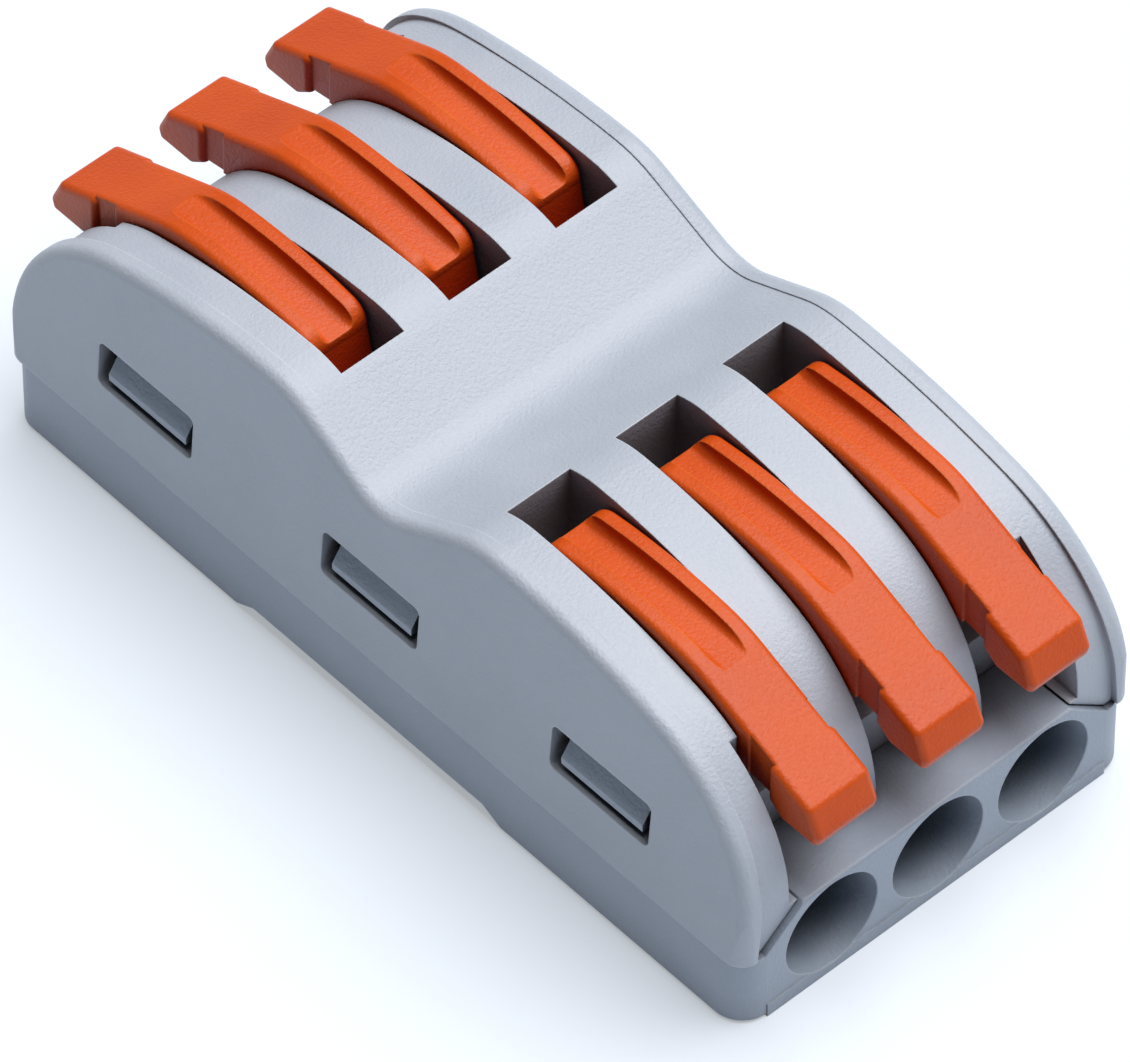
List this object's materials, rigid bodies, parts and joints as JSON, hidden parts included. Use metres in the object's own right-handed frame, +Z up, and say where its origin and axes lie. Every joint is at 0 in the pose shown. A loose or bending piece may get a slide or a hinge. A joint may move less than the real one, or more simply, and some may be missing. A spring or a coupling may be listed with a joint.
{
  "type": "lever wire connector",
  "caption": "Inline lever wire connector with a two-humped grey housing, orange levers on top and round funnel wire entries in both ends.",
  "frame": {"origin": "under the middle of the base, on its flat underside", "axes": "+X along the connector towards the front wire entries, +Y across the poles, +Z up through the levers"},
  "size_m": [0.0396, 0.0186, 0.0128],
  "materials": {
    "cover_grey": "satin moulded, light cool grey",
    "base_grey": "satin moulded, light cool grey",
    "lever_orange": "satin moulded orange",
    "spring_steel": "bright stainless strip",
    "tinned_copper": "tin plated copper"
  },
  "bodies": {
    "housing": {"cover": "cover_grey", "base": "base_grey", "busbar_left": "tinned_copper", "busbar_middle": "tinned_copper", "busbar_right": "tinned_copper", "spring_anchor_front_left": "spring_steel", "spring_anchor_front_middle": "spring_steel", "spring_anchor_front_right": "spring_steel", "spring_anchor_back_left": "spring_steel", "spring_anchor_back_middle": "spring_steel", "spring_anchor_back_right": "spring_steel"},
    "lever_front_left": {"lever_front_left": "lever_orange"},
    "cage_front_left": {"spring_cage_front_left": "spring_steel"},
    "lever_front_middle": {"lever_front_middle": "lever_orange"},
    "cage_front_middle": {"spring_cage_front_middle": "spring_steel"},
    "lever_front_right": {"lever_front_right": "lever_orange"},
    "cage_front_right": {"spring_cage_front_right": "spring_steel"},
    "lever_back_left": {"lever_back_left": "lever_orange"},
    "cage_back_left": {"spring_cage_back_left": "spring_steel"},
    "lever_back_middle": {"lever_back_middle": "lever_orange"},
    "cage_back_middle": {"spring_cage_back_middle": "spring_steel"},
    "lever_back_right": {"lever_back_right": "lever_orange"},
    "cage_back_right": {"spring_cage_back_right": "spring_steel"}
  },
  "joints": [
    {"name": "lever_pivot_front_left", "type": "hinge", "parent": "housing", "child": "lever_front_left", "pos_m": [0.0079, -0.005, 0.00985], "axis": [0, -1, 0], "range_deg": [0, 90]},
    {"name": "cage_flex_front_left", "type": "hinge", "parent": "housing", "child": "cage_front_left", "pos_m": [0.0049, -0.005, 0.00652], "axis": [0, 1, 0], "range_deg": [0, 20]},
    {"name": "lever_pivot_front_middle", "type": "hinge", "parent": "housing", "child": "lever_front_middle", "pos_m": [0.0079, 0, 0.00985], "axis": [0, -1, 0], "range_deg": [0, 90]},
    {"name": "cage_flex_front_middle", "type": "hinge", "parent": "housing", "child": "cage_front_middle", "pos_m": [0.0049, 0, 0.00652], "axis": [0, 1, 0], "range_deg": [0, 20]},
    {"name": "lever_pivot_front_right", "type": "hinge", "parent": "housing", "child": "lever_front_right", "pos_m": [0.0079, 0.005, 0.00985], "axis": [0, -1, 0], "range_deg": [0, 90]},
    {"name": "cage_flex_front_right", "type": "hinge", "parent": "housing", "child": "cage_front_right", "pos_m": [0.0049, 0.005, 0.00652], "axis": [0, 1, 0], "range_deg": [0, 20]},
    {"name": "lever_pivot_back_left", "type": "hinge", "parent": "housing", "child": "lever_back_left", "pos_m": [-0.0079, -0.005, 0.00985], "axis": [0, 1, 0], "range_deg": [0, 90]},
    {"name": "cage_flex_back_left", "type": "hinge", "parent": "housing", "child": "cage_back_left", "pos_m": [-0.0049, -0.005, 0.00652], "axis": [0, -1, 0], "range_deg": [0, 20]},
    {"name": "lever_pivot_back_middle", "type": "hinge", "parent": "housing", "child": "lever_back_middle", "pos_m": [-0.0079, 0, 0.00985], "axis": [0, 1, 0], "range_deg": [0, 90]},
    {"name": "cage_flex_back_middle", "type": "hinge", "parent": "housing", "child": "cage_back_middle", "pos_m": [-0.0049, 0, 0.00652], "axis": [0, -1, 0], "range_deg": [0, 20]},
    {"name": "lever_pivot_back_right", "type": "hinge", "parent": "housing", "child": "lever_back_right", "pos_m": [-0.0079, 0.005, 0.00985], "axis": [0, 1, 0], "range_deg": [0, 90]},
    {"name": "cage_flex_back_right", "type": "hinge", "parent": "housing", "child": "cage_back_right", "pos_m": [-0.0049, 0.005, 0.00652], "axis": [0, -1, 0], "range_deg": [0, 20]}
  ],
  "couplings": [
    {"joint": "cage_flex_front_left", "follows": "lever_pivot_front_left", "ratio": 0.21667},
    {"joint": "cage_flex_front_middle", "follows": "lever_pivot_front_middle", "ratio": 0.21667},
    {"joint": "cage_flex_front_right", "follows": "lever_pivot_front_right", "ratio": 0.21667},
    {"joint": "cage_flex_back_left", "follows": "lever_pivot_back_left", "ratio": 0.21667},
    {"joint": "cage_flex_back_middle", "follows": "lever_pivot_back_middle", "ratio": 0.21667},
    {"joint": "cage_flex_back_right", "follows": "lever_pivot_back_right", "ratio": 0.21667}
  ]
}
